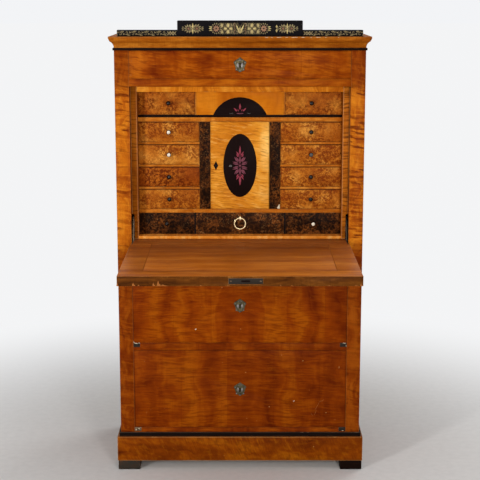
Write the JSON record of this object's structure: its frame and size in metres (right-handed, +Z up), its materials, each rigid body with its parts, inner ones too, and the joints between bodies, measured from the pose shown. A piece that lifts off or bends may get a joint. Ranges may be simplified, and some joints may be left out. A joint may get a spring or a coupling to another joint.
{
  "type": "escritoire",
  "caption": "Fall-front escritoire in figured birch with ebonised pediment and mouldings, small drawers and a cupboard behind the writing flap and long drawers below",
  "frame": {"origin": "on the floor under the middle of the whole object with its writing flap let down", "axes": "+Z up, -Y towards the person who writes at the flap, +X to that person's right"},
  "size_m": [0.864, 0.951, 1.551],
  "materials": {
    "figured_birch": "flame-figured birch, worn shellac polish",
    "interior_birch": "light ripple birch, satin polish",
    "burl_birch": "burl birch veneer, satin polish",
    "mottled_lacquer": "black and brown mottled lacquer on wood",
    "ebonised_wood": "ebonised, rubbed polish",
    "pine": "unfinished pine, aged",
    "wrought_iron": "dark forged iron, patinated",
    "aged_brass": "cast brass, tarnished with bright edges"
  },
  "bodies": {
    "carcass": {"side_panel_left": "figured_birch", "side_panel_right": "figured_birch", "stile_left": "figured_birch", "stile_right": "figured_birch", "middle_rail": "figured_birch", "base_rail": "figured_birch", "fall_rail": "figured_birch", "frieze_rail": "figured_birch", "plinth": "figured_birch", "cornice": "figured_birch", "fitment_case": "interior_birch", "fitment_shelves": "interior_birch", "fitment_partitions": "interior_birch", "arch_panel": "interior_birch", "flap_stop_frame": "interior_birch", "pilasters": "mottled_lacquer", "block_feet": "ebonised_wood", "base_string": "ebonised_wood", "cornice_bead": "ebonised_wood", "pediment_centre": "ebonised_wood", "pediment_wings": "ebonised_wood", "fitment_band": "ebonised_wood", "arch_lunette": "ebonised_wood", "dust_boards": "pine", "writing_bed": "pine", "case_top": "pine", "back_boards": "pine", "drawer_guides": "pine", "fitment_back": "pine", "rail_wear_plates": "wrought_iron", "flap_bearings": "wrought_iron", "door_pivots": "wrought_iron"},
    "flap": {"flap_panel": "figured_birch", "flap_stringing": "ebonised_wood", "flap_lock": "wrought_iron", "flap_stays": "wrought_iron", "flap_escutcheon": "aged_brass"},
    "cupboard_door": {"cupboard_door": "interior_birch", "door_inlays": "ebonised_wood"},
    "ring": {"ring_pull": "aged_brass"},
    "frieze_drawer": {"frieze_drawer": "figured_birch", "frieze_drawer_lock": "aged_brass"},
    "upper_drawer": {"upper_drawer": "figured_birch", "upper_drawer_lock": "aged_brass"},
    "lower_drawer": {"lower_drawer": "figured_birch", "lower_drawer_lock": "aged_brass"},
    "tier_drawer_left_1": {"tier_drawer_left_1": "burl_birch"},
    "tier_drawer_left_2": {"tier_drawer_left_2": "burl_birch"},
    "tier_drawer_left_3": {"tier_drawer_left_3": "burl_birch"},
    "tier_drawer_left_4": {"tier_drawer_left_4": "burl_birch"},
    "tier_drawer_right_1": {"tier_drawer_right_1": "burl_birch"},
    "tier_drawer_right_2": {"tier_drawer_right_2": "burl_birch"},
    "tier_drawer_right_3": {"tier_drawer_right_3": "burl_birch"},
    "tier_drawer_right_4": {"tier_drawer_right_4": "burl_birch"},
    "top_drawer_left": {"top_drawer_left": "burl_birch"},
    "top_drawer_right": {"top_drawer_right": "burl_birch"},
    "dark_drawer_left": {"dark_drawer_left": "mottled_lacquer"},
    "dark_drawer_middle": {"dark_drawer_middle": "mottled_lacquer"},
    "dark_drawer_right": {"dark_drawer_right": "mottled_lacquer"}
  },
  "joints": [
    {"name": "flap_hinge", "type": "hinge", "parent": "carcass", "child": "flap", "pos_m": [0, 0.0575, 0.8015], "axis": [1, 0, 0], "range_deg": [-90, 0]},
    {"name": "door_hinge", "type": "hinge", "parent": "carcass", "child": "cupboard_door", "pos_m": [0.0952, 0.1145, 1.0625], "axis": [0, 0, 1], "range_deg": [0, 90]},
    {"name": "frieze_drawer_slide", "type": "slide", "parent": "carcass", "child": "frieze_drawer", "axis": [0, -1, 0], "range_m": [0, 0.3]},
    {"name": "upper_drawer_slide", "type": "slide", "parent": "carcass", "child": "upper_drawer", "axis": [0, -1, 0], "range_m": [0, 0.3]},
    {"name": "lower_drawer_slide", "type": "slide", "parent": "carcass", "child": "lower_drawer", "axis": [0, -1, 0], "range_m": [0, 0.3]},
    {"name": "tier_drawer_left_1_slide", "type": "slide", "parent": "carcass", "child": "tier_drawer_left_1", "axis": [0, -1, 0], "range_m": [0, 0.24]},
    {"name": "tier_drawer_left_2_slide", "type": "slide", "parent": "carcass", "child": "tier_drawer_left_2", "axis": [0, -1, 0], "range_m": [0, 0.24]},
    {"name": "tier_drawer_left_3_slide", "type": "slide", "parent": "carcass", "child": "tier_drawer_left_3", "axis": [0, -1, 0], "range_m": [0, 0.24]},
    {"name": "tier_drawer_left_4_slide", "type": "slide", "parent": "carcass", "child": "tier_drawer_left_4", "axis": [0, -1, 0], "range_m": [0, 0.24]},
    {"name": "tier_drawer_right_1_slide", "type": "slide", "parent": "carcass", "child": "tier_drawer_right_1", "axis": [0, -1, 0], "range_m": [0, 0.24]},
    {"name": "tier_drawer_right_2_slide", "type": "slide", "parent": "carcass", "child": "tier_drawer_right_2", "axis": [0, -1, 0], "range_m": [0, 0.24]},
    {"name": "tier_drawer_right_3_slide", "type": "slide", "parent": "carcass", "child": "tier_drawer_right_3", "axis": [0, -1, 0], "range_m": [0, 0.24]},
    {"name": "tier_drawer_right_4_slide", "type": "slide", "parent": "carcass", "child": "tier_drawer_right_4", "axis": [0, -1, 0], "range_m": [0, 0.24]},
    {"name": "top_drawer_left_slide", "type": "slide", "parent": "carcass", "child": "top_drawer_left", "axis": [0, -1, 0], "range_m": [0, 0.24]},
    {"name": "top_drawer_right_slide", "type": "slide", "parent": "carcass", "child": "top_drawer_right", "axis": [0, -1, 0], "range_m": [0, 0.24]},
    {"name": "dark_drawer_left_slide", "type": "slide", "parent": "carcass", "child": "dark_drawer_left", "axis": [0, -1, 0], "range_m": [0, 0.24]},
    {"name": "dark_drawer_middle_slide", "type": "slide", "parent": "carcass", "child": "dark_drawer_middle", "axis": [0, -1, 0], "range_m": [0, 0.24]},
    {"name": "dark_drawer_right_slide", "type": "slide", "parent": "carcass", "child": "dark_drawer_right", "axis": [0, -1, 0], "range_m": [0, 0.24]},
    {"name": "ring_hinge", "type": "hinge", "parent": "dark_drawer_middle", "child": "ring", "pos_m": [0, 0.1035, 0.88125], "axis": [-1, 0, 0], "range_deg": [0, 80]}
  ]
}
